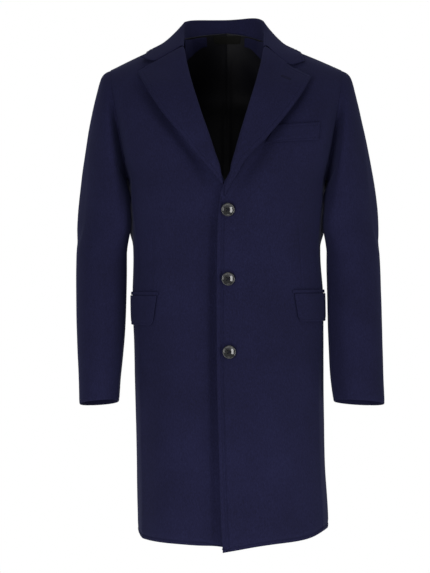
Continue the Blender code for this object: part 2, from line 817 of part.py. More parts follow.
def lining_panel(back, normals):
    """Half of the back lining, with half of the pleat that stands along its centre."""
    sheet = back - normals * (CLOTH + LINING_REST + LINING_CLOTH)
    rows = []
    for row in sheet[sheet[:, 0, 2] > LINING_BOTTOM]:
        fold = []
        for out, share in PLEAT[1:]:
            point = row[0] + (row[1] - row[0]) * out / abs(row[1][0])
            down = smooth((PLEAT_TOP - point[2]) / (PLEAT_TOP - PLEAT_FULL))
            fold.append(point - (0, PLEAT_RISE * share * down, 0))
        rows.append([*fold, *row[1:-1]])
    return np.array(rows)


def facing_panel(side, inside):
    """Coat cloth inside the back beside the neck, its lower edge a curve into the shoulder."""
    columns = []
    for share in np.linspace(FACING[1][0], FACING[-1][0], 9):
        out = share * NECK_POINT[side][0]
        seam = NECK_POINT[side][2] + (BACK_NECK[2] - NECK_POINT[side][2]) * (1 - share ** 2)
        heights = np.linspace(read(FACING, share, "bottom"), seam - FACING_TOP, 8)
        columns.append([
            inside.ahead(SIDES[side] * out, height, FACING_CLOTH + INSIDE_REST)
            for height in heights
        ])
    return np.swapaxes(columns, 0, 1)


def label_panel(inside):
    """A bare label under the neck seam, on the lining."""
    grid = []
    for share in (0, 0.5, 1):
        height = LABEL["bottom"] + (LABEL["top"] - LABEL["bottom"]) * share
        taper = LABEL["taper"] * (1 - share)
        places = np.linspace(LABEL["from"] + taper, LABEL["to"] - taper, 9)
        grid.append([inside.ahead(x, height, LABEL["cloth"] + INSIDE_REST) for x in places])
    return np.array(grid)


# ------------------------------------------------------------------ buttons


def make_button(number, x, z, form, material):
    surface, normal = form.seat(x, z, SEAM_GAP)
    profile = [(r * MM, h * MM) for r, h in BUTTON_PROFILE[1:]]
    mesh = bpy.data.meshes.new(f"button_{number}")
    mesh.from_pydata([(r, 0, h) for r, h in profile], [(i, i + 1) for i in range(len(profile) - 1)], [])
    mesh.materials.append(material)
    button = bpy.data.objects.new(f"button_{number}", mesh)
    button.location = Vector(surface - normal * BUTTON_PROFILE[-1][1]) * MM
    button.rotation_euler = Vector(normal).to_track_quat("Z", "Y").to_euler()
    turn = button.modifiers.new("Turn", "SCREW")
    turn.steps = turn.render_steps = BUTTON_STEPS
    turn.use_merge_vertices = True
    turn.merge_threshold = 0.00001
    coat.objects.link(button)


# ------------------------------------------------------------------ the coat

for old in list(bpy.data.objects):
    bpy.data.objects.remove(old, do_unlink=True)
coat = bpy.data.collections.new("wool_overcoat")
bpy.context.scene.collection.children.link(coat)

wool = make_material("navy_wool", (0.014, 0.014, 0.032), 0.9)
lining_satin = make_material("dark_lining", (0.004, 0.005, 0.010), 0.45)
label_tape = make_material("label_tape", (0.02, 0.02, 0.016), 0.7)
horn = make_material("dark_horn", (0.012, 0.012, 0.016), 0.25)

body, sleeves = {}, {}
for side in SIDES:
    for name, panel in (("front", front_panel), ("side", side_panel), ("back", back_panel)):
        grid = panel(side)
        core = grid * (0, 0, 1)
        body[f"{name}_{side}"] = (grid, outward(grid, core))
    for name, arc in (("sleeve_top", TOP_SLEEVE_ARC), ("sleeve_under", UNDER_SLEEVE_ARC)):
        grid = sleeve_panel(side, arc)
        sleeves[f"{name}_{side}"] = (grid, outward(grid, sleeve_core(side, grid)))
normals = share_normals(body, sleeves)
# The corners where the side seams reach the armhole turn no further than the seams below them.
corner = len(SEAM_HEIGHTS)
for side in SIDES:
    for name, column in (("front", -1), ("side", 0), ("side", -1), ("back", -1)):
        turned = normals[f"{name}_{side}"]
        turned[corner, column] = turned[corner - 1, column]
for name, (grid, _) in {**body, **sleeves}.items():
    make_cloth(name, grid, normals[name], CLOTH, wool)

form = Form([grid for grid, _ in body.values()])


def lay(name, grid, away, thickness, material):
    """A wall of cloth whose face is the grid, turned towards a direction or from a point."""
    make_cloth(name, grid, outward(grid, away), thickness, material)


lapels = {}
linings = []
for side in SIDES:
    front, near, back = [(body[f"{name}_{side}"][0], normals[f"{name}_{side}"])
                         for name in ("front", "side", "back")]
    lapels[side] = lapel_panel(side, form, *front)
    lay(f"lapel_{side}", lapels[side], lapels[side] + (0, 1000, 0), TRIM_CLOTH, wool)
    flap = flap_panel(side, front, near)
    lay(f"pocket_flap_{side}", flap, flap * (0, 0, 1), FLAP_CLOTH, wool)
    jet = jet_panel(side, front, near)
    lay(f"pocket_jet_{side}", jet, jet * (0, 0, 1), JET_CLOTH, wool)
    lining = lining_panel(*back)
    linings.append(lining)
    lay(f"lining_{side}", lining, lining + (0, 1000, 0), LINING_CLOTH, lining_satin)

leaf = collar_leaf(form, lapels)
lay("collar_leaf", leaf, leaf * (0, 0, 0) + (0, 30, -60), TRIM_CLOTH, wool)
stand = collar_stand()
lay("collar_stand", stand, stand * 3, CLOTH, wool)
welt = welt_panel(form)
lay("chest_welt", welt, welt + (0, 1000, 0), WELT_CLOTH, wool)
inside = Form(linings)
for side in SIDES:
    facing = facing_panel(side, inside)
    lay(f"neck_facing_{side}", facing, facing + (0, 1000, 0), FACING_CLOTH, wool)
label = label_panel(inside)
lay("neck_label", label, label + (0, 1000, 0), LABEL["cloth"], label_tape)

for number, x, z in BUTTONS:
    make_button(number, x, z, form, horn)
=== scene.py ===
"""A wool overcoat, put together in the order that a tailor sews it. Metres, Z up, front towards -Y."""

import math

import bmesh
import bpy
import numpy as np
from mathutils import Matrix, Vector, noise
from mathutils.bvhtree import BVHTree


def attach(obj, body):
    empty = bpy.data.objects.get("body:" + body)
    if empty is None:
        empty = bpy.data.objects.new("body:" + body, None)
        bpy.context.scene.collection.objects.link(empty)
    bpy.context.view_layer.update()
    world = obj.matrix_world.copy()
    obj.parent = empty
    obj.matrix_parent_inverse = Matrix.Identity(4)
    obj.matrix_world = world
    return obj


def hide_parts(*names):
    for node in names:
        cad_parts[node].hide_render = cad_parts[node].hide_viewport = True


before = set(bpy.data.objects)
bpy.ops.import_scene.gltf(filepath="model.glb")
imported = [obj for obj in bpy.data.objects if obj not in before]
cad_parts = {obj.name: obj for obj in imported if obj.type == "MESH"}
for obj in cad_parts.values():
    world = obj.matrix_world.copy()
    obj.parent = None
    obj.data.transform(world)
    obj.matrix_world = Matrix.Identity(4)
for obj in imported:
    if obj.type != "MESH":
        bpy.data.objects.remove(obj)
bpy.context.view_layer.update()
MM = 0.001

# ---------------------------------------------------------------- the cloth of the coat
# Melton: a heavy woollen twill, fulled and brushed until the fibres hide the weave, then
# sheared. It gives a matt, very dark navy face with a soft halo where light grazes the nap.


def colour(text):
    """An sRGB hex value as linear RGBA."""
    parts = [int(text[i : i + 2], 16) / 255 for i in (1, 3, 5)]
    return [p / 12.92 if p <= 0.04045 else ((p + 0.055) / 1.055) ** 2.4 for p in parts] + [1]


def add(tree, kind, settings=None, stops=(), **links):
    """One shader node: settings and values set, (place, hex) stops on a ramp, and inputs linked."""
    node = tree.nodes.new(kind)
    for name, value in (settings or {}).items():
        if isinstance(name, str) and hasattr(node, name):
            setattr(node, name, value)
        else:
            node.inputs[name].default_value = value
    if stops:
        for place, _ in stops[1:-1]:
            node.color_ramp.elements.new(place)
        for element, (place, text) in zip(node.color_ramp.elements, stops):
            element.position, element.color = place, colour(text)
    for name, source in links.items():
        tree.links.new(source, node.inputs[name.replace("_", " ")])
    return node


def new_material(name):
    """An empty material with its node tree and its shader."""
    material = bpy.data.materials.new(name)
    material.use_nodes = True
    return material, material.node_tree, material.node_tree.nodes["Principled BSDF"]


def per_mm(size):
    """The noise scale that gives features of a size in millimetres."""
    return 1 / (size * MM)


def melton(name, dark, middle, light):
    """Fulled wool: faintly clouded in the dyeing, flecked by brushed fibres, matt but for its nap."""
    material, tree, shader = new_material(name)
    place = add(tree, "ShaderNodeTexCoord").outputs["Object"]
    clouds = add(tree, "ShaderNodeTexNoise", {"Scale": per_mm(90), "Detail": 2.0}, Vector=place)
    # Real fibres are 0.03 mm thick. They are drawn as tufts of 1.6 mm so that they show.
    lying = add(tree, "ShaderNodeMapping", {"Scale": (1.0, 1.0, 0.4)}, Vector=place)
    tufts = add(
        tree,
        "ShaderNodeTexNoise",
        {"Scale": per_mm(1.6), "Detail": 4.0, "Roughness": 0.65},
        Vector=lying.outputs[0],
    )
    brushed = add(
        tree,
        "ShaderNodeTexNoise",
        {"Scale": per_mm(4.5), "Detail": 3.0, "Distortion": 0.8},
        Vector=lying.outputs[0],
    )
    flecks = add(tree, "ShaderNodeMath", {"operation": "MULTIPLY_ADD", 1: 0.3})
    tree.links.new(clouds.outputs["Fac"], flecks.inputs[0])
    tree.links.new(tufts.outputs["Fac"], flecks.inputs[2])
    stops = [(0.4, dark), (0.65, middle), (0.9, light)]
    shade = add(tree, "ShaderNodeValToRGB", stops=stops, Fac=flecks.outputs[0])
    tree.links.new(shade.outputs["Color"], shader.inputs["Base Color"])
    coarse = add(
        tree, "ShaderNodeBump", {"Strength": 0.3, "Distance": 0.5 * MM}, Height=brushed.outputs["Fac"]
    )
    fine = add(
        tree,
        "ShaderNodeBump",
        {"Strength": 0.4, "Distance": 0.25 * MM},
        Height=tufts.outputs["Fac"],
        Normal=coarse.outputs[0],
    )
    tree.links.new(fine.outputs[0], shader.inputs["Normal"])
    shader.inputs["Roughness"].default_value = 0.95
    shader.inputs["Specular IOR Level"].default_value = 0.12
    shader.inputs["Sheen Weight"].default_value = 0.1
    shader.inputs["Sheen Roughness"].default_value = 0.5
    shader.inputs["Sheen Tint"].default_value = colour("#7F86C8")
    return material


NAVY_MELTON = melton("navy_melton", "#131327", "#191934", "#20213F")

# ---------------------------------------------------------------- fronts, side panels, back
# The body is six pieces of melton cut from the bolt, sewn edge to edge and pressed open. The
# left front laps over the right. Its edge and the hem are turned, pressed and stitched.

# Soft troughs and ridges that wearing leaves: the face that they are seen on, where they start
# and end across and up (mm), how far the cloth is pushed out, and their half width (mm).
BODY_CREASES = [
    ("face", "x0", "z0", "x1", "z1", "push", "width"),
    ("front", -100, -620, -112, -960, 2.2, 34),
    ("front", 66, -560, 92, -960, 2.6, 40),
    ("front", 128, -560, 140, -930, -1.8, 20),
    ("front", -140, -540, -146, -900, -1.4, 16),
    ("front", 22, -600, 34, -950, -1.2, 18),
    ("front", 40, -262, 128, -330, 0.9, 20),
    ("front", -60, -268, -130, -326, 0.9, 20),
    ("front", 30, -470, 96, -452, 1.0, 20),
    ("front", 46, -690, 104, -618, 0.9, 16),
    ("front", -100, -400, -146, -380, -1.0, 12),
    ("front", 112, -412, 154, -388, -1.0, 12),
    ("back", -30, -372, -130, -300, -2.6, 17),
    ("back", 36, -384, 134, -308, -2.4, 17),
    ("back", -8, -312, -104, -238, -2.0, 16),
    ("back", 12, -326, 100, -250, -2.1, 16),
    ("back", -60, -500, -92, -960, 3.2, 36),
    ("back", 72, -520, 100, -960, 3.0, 36),
    ("back", 12, -560, 6, -960, -2.4, 24),
    ("back", -60, -92, 62, -98, -1.8, 16),
    ("back", -150, -150, -118, -250, -1.6, 16),
    ("back", 152, -150, 122, -250, -1.6, 16),
    ("right", -20, -300, 40, -372, -1.8, 15),
    ("right", 30, -520, 44, -960, 2.4, 26),
    ("right", -34, -560, -40, -960, -1.6, 18),
    ("left", -24, -306, 36, -380, -1.8, 15),
    ("left", 22, -520, 36, -960, 2.4, 26),
    ("left", -40, -560, -46, -960, -1.6, 18),
    ("right", 46, -190, 48, -376, 8.0, 28),
    ("left", 46, -190, 48, -376, 8.5, 28),
]
# Where the body and the sleeves meet in front, the cloth sinks into a cleft: down each side of
# the coat, the distance out, the height and how deep it sinks (mm).
CLEFT = [
    ("out", "height", "deep"),
    (214, -96, 0),
    (209, -128, 12),
    (204, -158, 24),
    (199, -192, 30),
    (194, -226, 28),
    (191, -262, 12),
    (190, -300, 0),
]
# Its half width. It starts this far in front of the coat's middle and is full after a span (mm).
CLEFT_WIDTH, CLEFT_START, CLEFT_SPAN = 9, -8, 36
# Under the outer edges of the lapels and in their notches the chest is hollow. The under front
# sinks behind the edge that laps over it.
UNDER_LAPELS = [
    ("front", -184, -44, -26, -268, -14.0, 12),
    ("front", 172, -54, 16, -268, -14.0, 12),
    ("front", -172, -19, -136, -31, -14.0, 9),
    ("front", 158, -27, 122, -40, -14.0, 9),
]
UNDER_FRONT = [("front", -27, -240, -22, -1040, -12.0, 19)]
# A crease fades over this share of its length and keeps some push at its very ends. It grows
# from where the cloth starts to face the side that it is seen on.
CREASE_FADE, CREASE_END = 0.3, 0.25
FACING_START, FACING_SPAN = 0.2, 0.5
# The upright line that the body is round, as its (x, y) in mm.
BODY_AXIS = (0.0, 0.0)
# The cloth is never quite even: gentle waves, of a height and a length in mm, smaller up and down.
WAVES = ((0.8, 110), (0.3, 40))
WAVE_SHARES = (1, 1, 0.3)
WAVE_SEED = 11
noise.seed_set(WAVE_SEED)
# The edges of the fronts from hem to lapel: height, and x on the right and the left front (mm).
FRONT_EDGES = [
    ("height", "right", "left"),
    (-940, 20, -7.5),
    (-870, 20, -11.5),
    (-770, 20, -15.5),
    (-640, 20, -19),
    (-500, 20, -19.7),
    (-350, 20, -18.5),
    (-300, 18, -17.3),
    (-258, -5, -8),
    (-238, -14, 6.3),
]
# The left front's free edge is stitched below this height. Its cut edges are within this reach
# of where the table puts it, and all level ones below the next height are the hem (mm).
STRIP_TOP, STRIP_REACH = -262, 7
HEM_TOP = -885
# Points this near are one (mm). Two triangles make a square up to this bend and this skew.
SAME_POINT = 0.02
SQUARE_BEND, SQUARE_SKEW = math.radians(50), math.radians(70)
# Cloth turns more sharply than this only where it was cut, and an edge that rises less than this
# is a level one.
CUT_ANGLE = math.radians(60)
LEVEL_SLOPE = 0.7
SEAM_GROWTH = 0.5
# A groove is drawn in cloth that is made finer to this many mm beyond it, where it faces outwards.
STITCH_REACH, SEAM_REACH, FINER_CUTS = 7, 6, 3
OUTWARDS = 0.1
# How often each piece of cloth is subdivided.
CLOTH_LEVELS = 2


def copied(name):
    """A cut piece's mesh in a new bmesh: its loose triangles merged, then paired into squares."""
    bm = bmesh.new()
    bm.from_mesh(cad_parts[name].data)
    bmesh.ops.remove_doubles(bm, verts=bm.verts, dist=SAME_POINT * MM)
    bmesh.ops.join_triangles(
        bm, faces=bm.faces, angle_face_threshold=SQUARE_BEND, angle_shape_threshold=SQUARE_SKEW
    )
    bm.normal_update()
    return bm


def is_cut(edge):
    """Whether an edge is one that the shears left, and not a bend of the cloth."""
    return edge.calc_face_angle(0) > CUT_ANGLE


def grown(bm, by=SEAM_GROWTH):
    """Pushes out the cut sides of a piece, so that no light passes between it and the next."""
    pushes = {}
    for face in bm.faces:
        cut = [edge for edge in face.edges if is_cut(edge)]
        if any(not set(a.verts) & set(b.verts) for a in cut for b in cut):
            for vert in face.verts:
                pushes.setdefault(vert, Vector())
                pushes[vert] += face.normal
    for vert, push in pushes.items():
        vert.co += push.normalized() * by * MM
    bm.normal_update()


def cut_lines(bm, where, level=False):
    """The cut edges of a piece that lie where a test says, as pairs of points (mm)."""
    lines = []
    for edge in bm.edges:
        start, end = (vert.co / MM for vert in edge.verts)
        slope = abs(end.z - start.z) / (end - start).length
        if is_cut(edge) and where(*start) and where(*end) and not (level and slope > LEVEL_SLOPE):
            lines.append((start, end))
    return np.array(lines)


def rounded(bm, radius, where=None):
    """Rounds a piece's cut edges, or those of them that a test picks, as pressing does."""
    picked = []
    for edge in bm.edges:
        middle = (edge.verts[0].co + edge.verts[1].co) / 2 / MM
        if is_cut(edge) and (where is None or where(*middle)):
            picked.append(edge)
    bmesh.ops.bevel(
        bm,
        geom=picked,
        offset=radius * MM,
        segments=2,
        profile=0.5,
        affect="EDGES",
        material=-1,
        clamp_overlap=True,
    )


def ordered(bm):
    """Puts the points, edges and faces of a bmesh in order of place, so that each run is the same."""
    places = (
        (bm.verts, lambda vert: vert.co),
        (bm.edges, lambda edge: (edge.verts[0].co + edge.verts[1].co) / 2),
        (bm.faces, lambda face: face.calc_center_median()),
    )
    for parts, place in places:
        in_order = sorted(parts, key=lambda part: place(part).to_tuple(7))
        ranks = {part: rank for rank, part in enumerate(in_order)}
        parts.sort(key=ranks.get)
    bm.verts.index_update()


def piece(name, bm, material, levels=0):
    """The bmesh as a finished piece in its material, subdivided and shaded smooth."""
    ordered(bm)
    mesh = bpy.data.meshes.new(name)
    bm.to_mesh(mesh)
    bm.free()
    obj = bpy.data.objects.new(name, mesh)
    bpy.context.scene.collection.objects.link(obj)
    if levels:
        rounding = obj.modifiers.new("rounding", "SUBSURF")
        rounding.levels = rounding.render_levels = levels
        rounding.uv_smooth = "NONE"
        shaped = obj.evaluated_get(bpy.context.evaluated_depsgraph_get())
        solid = bpy.data.meshes.new_from_object(shaped)
        obj.modifiers.clear()
        obj.data = solid
        bpy.data.meshes.remove(mesh)
        solid.name = name
    obj.data.materials.clear()
    obj.data.materials.append(material)
    obj.data.shade_smooth()
    return obj


def points_of(obj):
    """A piece's points and their normals, in mm."""
    count = len(obj.data.vertices)
    flat, facing = np.empty(count * 3, np.float32), np.empty(count * 3, np.float32)
    obj.data.vertices.foreach_get("co", flat)
    obj.data.vertex_normals.foreach_get("vector", facing)
    return flat.reshape(-1, 3).astype(float) / MM, facing.reshape(-1, 3).astype(float)


def put_points(obj, points):
    """Moves a piece's points to places given in mm."""
    obj.data.vertices.foreach_set("co", (points * MM).astype(np.float32).ravel())
    obj.data.update()


def smoothed(share):
    """A share that grows from 0 to 1 without a kink."""
    share = np.clip(share, 0, 1)
    return share * share * (3 - 2 * share)


def away_from(points, axis):
    """Level directions that lead from a limb's upright axis out through each point."""
    arm = points[:, :2] - axis
    out = arm / np.maximum(np.linalg.norm(arm, axis=1, keepdims=True), 1)
    return np.column_stack([out, np.zeros(len(points))])


def creased(points, creases, axis):
    """How far each point is pushed by the creases."""
    columns, *rows = creases
    out = away_from(points, axis)
    # The axis that runs across each face, and how squarely each point faces that way.
    faces = {
        "front": (0, -out[:, 1]),
        "back": (0, out[:, 1]),
        "right": (1, -out[:, 0]),
        "left": (1, out[:, 0]),
    }
    pushed = np.zeros(len(points))
    for row in rows:
        crease = dict(zip(columns, row))
        across, squarely = faces[crease["face"]]
        start = np.array([crease["x0"], crease["z0"]], float)
        run = np.array([crease["x1"], crease["z1"]]) - start
        flat = points[:, (across, 2)] - start
        along = np.clip(flat @ run / (run @ run), 0, 1)
        away = np.linalg.norm(flat - along[:, None] * run, axis=1)
        fade = smoothed(np.minimum(along, 1 - along) / CREASE_FADE + CREASE_END)
        shape = np.exp(-((away / crease["width"]) ** 2))
        pushed += crease["push"] * fade * shape * smoothed((squarely - FACING_START) / FACING_SPAN)
    return pushed[:, None] * out


def sunk(points):
    """How far the cloth sinks into the clefts between the body and the sleeves."""
    out, height, deep = np.array(CLEFT[1:], float).T
    middle = np.interp(-points[:, 2], -height, out)
    depth = np.interp(-points[:, 2], -height, deep)
    across = (abs(points[:, 0]) - middle) / CLEFT_WIDTH
    front = smoothed((CLEFT_START - points[:, 1]) / CLEFT_SPAN)
    return (depth * front * np.exp(-(across**2)))[:, None] * (0, 1, 0)


def wavy(points):
    """A gentle unevenness that all the cloth shares, so that pieces stay seated on each other."""
    moved = np.zeros_like(points)
    for height, length in WAVES:
        for i, point in enumerate(points):
            moved[i] += height * np.array(noise.noise_vector(Vector(point / length)))
    return moved * WAVE_SHARES


def worn_in(obj, creases=BODY_CREASES, axis=BODY_AXIS):
    """Lays the clefts, the creases and the waves into a piece by moving its points."""
    points, _ = points_of(obj)
    put_points(obj, points + sunk(points) + creased(points, creases, axis) + wavy(points))
    return obj


def distance_to(points, lines):
    """How far each point is from the nearest of some straight lines."""
    nearest = np.full(len(points), np.inf)
    for start, end in lines:
        run = end - start
        along = np.clip((points - start) @ run / (run @ run), 0, 1)
        nearest = np.minimum(nearest, np.linalg.norm(points - start - along[:, None] * run, axis=1))
    return nearest


def finer(obj, near, cuts):
    """Divides the cloth more finely where both ends of an edge are near."""
    bm = bmesh.new()
    bm.from_mesh(obj.data)
    edges = [edge for edge in bm.edges if all(near[vert.index] for vert in edge.verts)]
    bmesh.ops.subdivide_edges(bm, edges=edges, cuts=cuts, use_grid_fill=True)
    bm.to_mesh(obj.data)
    bm.free()
    obj.data.shade_smooth()


def stitched(obj, lines, inset, groove, roll, axis=BODY_AXIS, half_width=1.3):
    """Turns an edge under: a groove where the stitches draw the cloth in, and a roll beyond it."""

    def measured():
        points, normals = points_of(obj)
        outside = (normals * away_from(points, axis)).sum(axis=1) > OUTWARDS
        return points, normals, distance_to(points, lines), outside

    _, _, away, outside = measured()
    finer(obj, (away < inset + STITCH_REACH) & outside, FINER_CUTS)
    points, normals, away, outside = measured()
    drawn_in = groove * np.exp(-(((away - inset) / half_width) ** 2))
    rolled = roll * np.clip(1 - away / inset, 0, 1) ** 2
    put_points(obj, points - ((drawn_in + rolled) * outside)[:, None] * normals)


def seamed(obj, path, depth, half_width=1.5):
    """A narrow groove along a path of (x, z) on the front of a piece, as a dart or a seam leaves."""
    ends = np.array([(x, 0, z) for x, z in path], float)
    lines = list(zip(ends[:-1], ends[1:]))

    def measured():
        points, normals = points_of(obj)
        return points, normals, distance_to(points * (1, 0, 1), lines), normals[:, 1] < -OUTWARDS

    _, _, away, outside = measured()
    finer(obj, (away < half_width + SEAM_REACH) & outside, FINER_CUTS)
    points, normals, away, outside = measured()
    fade = np.exp(-((away / half_width) ** 2))
    put_points(obj, points - (depth * fade * outside)[:, None] * normals)


def sewn(obj, node):
    """Puts a piece of cloth in its node's place on the coat."""
    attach(obj, "root")
    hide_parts(node)
    return obj


def front_edge(side, height):
    """Where a front's free edge is at a height."""
    rows = np.array([(row[0], row[1 if side == "right" else 2]) for row in FRONT_EDGES[1:]], float)
    return np.interp(height, rows[:, 0], rows[:, 1])


BODY_CUTS = [
    ("node", "width", "length", "area"),
    ("front_left", 0.300, 0.955, 0.200),
    ("front_right", 0.300, 0.955, 0.194),
    ("side_left", 0.165, 0.715, 0.096),
    ("side_right", 0.165, 0.715, 0.096),
    ("back_left", 0.245, 0.940, 0.184),
    ("back_right", 0.245, 0.940, 0.181),
]
# Front darts, from under the chest to the pocket: (x, z) points in mm.
DARTS = {
    "front_left": [(132, -336), (136, -392), (138, -452)],
    "front_right": [(-138, -336), (-139, -392), (-140, -452)],
}
for node, width, length, area in BODY_CUTS[1:]:
    bm = copied(node)
    grown(bm)
    hem = cut_lines(bm, lambda x, y, z: z < HEM_TOP, level=True)
    strip = None
    if node == "front_left":
        strip = cut_lines(
            bm, lambda x, y, z: z < STRIP_TOP and abs(x - front_edge("left", z)) < STRIP_REACH
        )
    rounded(bm, radius=0.8)
    creases = list(BODY_CREASES)
    if node.startswith("front"):
        creases += UNDER_LAPELS
    if node == "front_right":
        creases += UNDER_FRONT
    panel = worn_in(piece(node + "_cloth", bm, NAVY_MELTON, CLOTH_LEVELS), creases)
    if strip is not None:
        stitched(panel, strip, inset=10, groove=3.2, roll=0.6, half_width=2.6)
    if node in DARTS:
        seamed(panel, DARTS[node], depth=1.3)
    stitched(panel, hem, inset=7, groove=1.8, roll=1.0)
    sewn(panel, node)

# ---------------------------------------------------------------- sleeves
# Two-piece sleeves of the same melton, set into the armholes with a little fullness and left
# open at the cuff's vent. The arm bends slightly, so the cloth breaks softly at the elbow.

SLEEVE_CREASES = {
    "right": [
        ("face", "x0", "z0", "x1", "z1", "push", "width"),
        ("front", -262, -150, -274, -400, 1.4, 22),
        ("front", -212, -300, -256, -352, -1.8, 14),
        ("front", -208, -372, -262, -404, -1.6, 13),
        ("front", -214, -440, -254, -452, -1.0, 12),
        ("front", -228, -430, -244, -640, 1.4, 20),
        ("back", -214, -330, -270, -350, -2.2, 14),
        ("back", -216, -392, -268, -404, -1.8, 13),
        ("back", -230, -200, -250, -310, 1.6, 20),
        ("right", -20, -340, 40, -368, -1.6, 14),
        ("left", 20, -300, -14, -420, -1.4, 14),
        ("left", -20, -200, -20, -300, 3.5, 24),
    ],
    "left": [
        ("face", "x0", "z0", "x1", "z1", "push", "width"),
        ("front", 262, -150, 278, -400, 1.4, 22),
        ("front", 206, -352, 244, -300, -2.0, 13),
        ("front", 212, -448, 248, -420, -2.2, 11),
        ("front", 216, -510, 262, -486, -2.0, 12),
        ("front", 222, -566, 266, -548, -1.6, 12),
        ("front", 226, -392, 240, -640, 1.6, 18),
        ("back", 214, -336, 270, -352, -2.2, 14),
        ("back", 216, -398, 268, -412, -1.8, 13),
        ("back", 230, -200, 252, -310, 1.6, 20),
        ("left", -20, -346, 40, -374, -1.6, 14),
        ("right", 20, -300, -14, -420, -1.4, 14),
        ("right", -20, -200, -20, -300, 3.5, 24),
    ],
}
SLEEVE_CUTS = [
    ("cut", "width", "length", "area"),
    ("top", 0.235, 0.640, 0.130),
    ("under", 0.150, 0.585, 0.075),
]
# The upright line that each sleeve is round, as its (x, y), and the height that its cuff is
# below (mm).
SLEEVE_AXES = {"right": (-236, 0), "left": (238, 0)}
CUFF_TOP = -638
for side, axis in SLEEVE_AXES.items():
    for cut, width, length, area in SLEEVE_CUTS[1:]:
        node = f"sleeve_{cut}_{side}"
        bm = copied(node)
        grown(bm)
        cuff = cut_lines(bm, lambda x, y, z: z < CUFF_TOP, level=True)
        rounded(bm, radius=0.8)
        sleeve = piece(node + "_cloth", bm, NAVY_MELTON, CLOTH_LEVELS)
        worn_in(sleeve, SLEEVE_CREASES[side], axis)
        stitched(sleeve, cuff, inset=5, groove=0.3, roll=0.8, axis=axis)
        sewn(sleeve, node)

# ---------------------------------------------------------------- lapels and collar
# The front facing is turned back on the roll line as a notched lapel, and the undercollar
# stands round the neck with its leaf turned down over it. Canvas inside keeps both crisp, and
# the edges are turned, pressed and stitched a little inside.

# Below this height each lapel narrows, over a span, and runs down into the edge of its front
# (mm). Its width shrinks by this share.
ROLL_END, ROLL_SPAN = -222, 34
ROLL_DRAWN = 0.7
# For each side, how far the lapel's foot drops, the line beside the front's edge that it is drawn
# to, and how far it sinks (mm).
ROLL_FOOT = {
    "left": {"drop": 30, "beside": 3, "sink": 2.6},
    "right": {"drop": 14, "beside": -3, "sink": 4},
}


def tapered(obj, side):
    """Draws the foot of a lapel out along the front's edge until it is lost in it."""
    foot = ROLL_FOOT[side]
    points, _ = points_of(obj)
    share = smoothed((ROLL_END - points[:, 2]) / ROLL_SPAN)
    height = points[:, 2] - share * foot["drop"]
    middle = front_edge(side, height) + foot["beside"]
    points[:, 0] += (middle - points[:, 0]) * share * ROLL_DRAWN
    points[:, 1] += share * foot["sink"]
    points[:, 2] = height
    put_points(obj, points)


# How far the free edge of a lapel stands off the chest (mm), and the line that it folds on.
LAPEL_LIFT = 9
FOLD_FOOT, FOLD_SLOPE = -258, 72 / 278
LAPEL_SPAN = 70
# The lift starts below the notch and ends at the lapel's foot, each over a span (mm).
LIFT_TOP, LIFT_TOP_SPAN = -38, 40
LIFT_FOOT, LIFT_FOOT_SPAN = -262, 50


def lifted(obj):
    """Lets a lapel roll away from the chest towards its free edge, as canvas makes it."""
    points, _ = points_of(obj)
    fold = (points[:, 2] - FOLD_FOOT) * FOLD_SLOPE
    across = np.clip((abs(points[:, 0]) - fold) / LAPEL_SPAN, 0, 1)
    under_notch = smoothed((LIFT_TOP - points[:, 2]) / LIFT_TOP_SPAN)
    over_foot = smoothed((points[:, 2] - LIFT_FOOT) / LIFT_FOOT_SPAN)
    points[:, 1] -= LAPEL_LIFT * across * (under_notch * over_foot)
    put_points(obj, points)


# A lapel's free edge lies outside a line that leans outwards from its foot, under the collar's
# seam and well in front (mm).
EDGE_FOOT_X, EDGE_FOOT_Z, EDGE_LEAN = 12, -250, 0.42
EDGE_TOP, EDGE_BACK = -30, -50


def on_lapel_edge(x, y, z):
    """Whether a point is on the free edge of a lapel."""
    return abs(x) > EDGE_FOOT_X + (z - EDGE_FOOT_Z) * EDGE_LEAN and z < EDGE_TOP and y < EDGE_BACK


# The gorge is the seam that joins a lapel to the collar. From its outer end it rises inwards, and
# it is well in front (mm).
GORGE_OUT, GORGE_FOOT, GORGE_RISE = 152, -52, 0.2
GORGE_BACK = -30


def on_gorge(x, y, z):
    """Whether a point is on a gorge."""
    inwards = GORGE_OUT - abs(x)
    return y < GORGE_BACK and inwards > 0 and z > GORGE_FOOT + inwards * GORGE_RISE


# The collar leaf's free edge is this far from the middle of the neck, and ends in front (mm).
LEAF_OUT, LEAF_FRONT = 95.5, -41


def on_leaf_edge(x, y, z):
    """Whether a point is on the free edge of the collar's leaf."""
    return math.hypot(x, y) > LEAF_OUT and y > LEAF_FRONT


CANVASSED = [
    ("node", "width", "length", "area", "edge"),
    ("lapel_left", 0.150, 0.300, 0.0185, on_lapel_edge),
    ("lapel_right", 0.150, 0.300, 0.0188, on_lapel_edge),
    ("collar_leaf", 0.430, 0.085, 0.0336, on_leaf_edge),
    ("collar_stand", 0.300, 0.027, 0.0060, None),
]
turned = {}
for node, width, length, area, where in CANVASSED[1:]:
    bm = copied(node)
    edge = cut_lines(bm, where) if where else None
    grown(bm, by=1.3)
    rounded(bm, radius=1.0, where=lambda x, y, z: not on_gorge(x, y, z))
    turned[node] = worn_in(piece(node + "_cloth", bm, NAVY_MELTON, CLOTH_LEVELS))
    if where:
        stitched(turned[node], edge, inset=8, groove=0.8, roll=1.2)
    if node.startswith("lapel"):
        lifted(turned[node])
        tapered(turned[node], node.split("_")[1])
    sewn(turned[node], node)

# The lapel's buttonhole: a slit worked round with a purl of silk twist. Its ends, as (x, z), how
# far the purl's middle is from the slit, how thick it is, and how far it stands off the cloth (mm).
SLIT = (Vector((99.5, -58)), Vector((118, -65.5)))
PURL_OUT, PURL_THICKNESS, PURL_OVER = 1.3, 0.9, 0.1
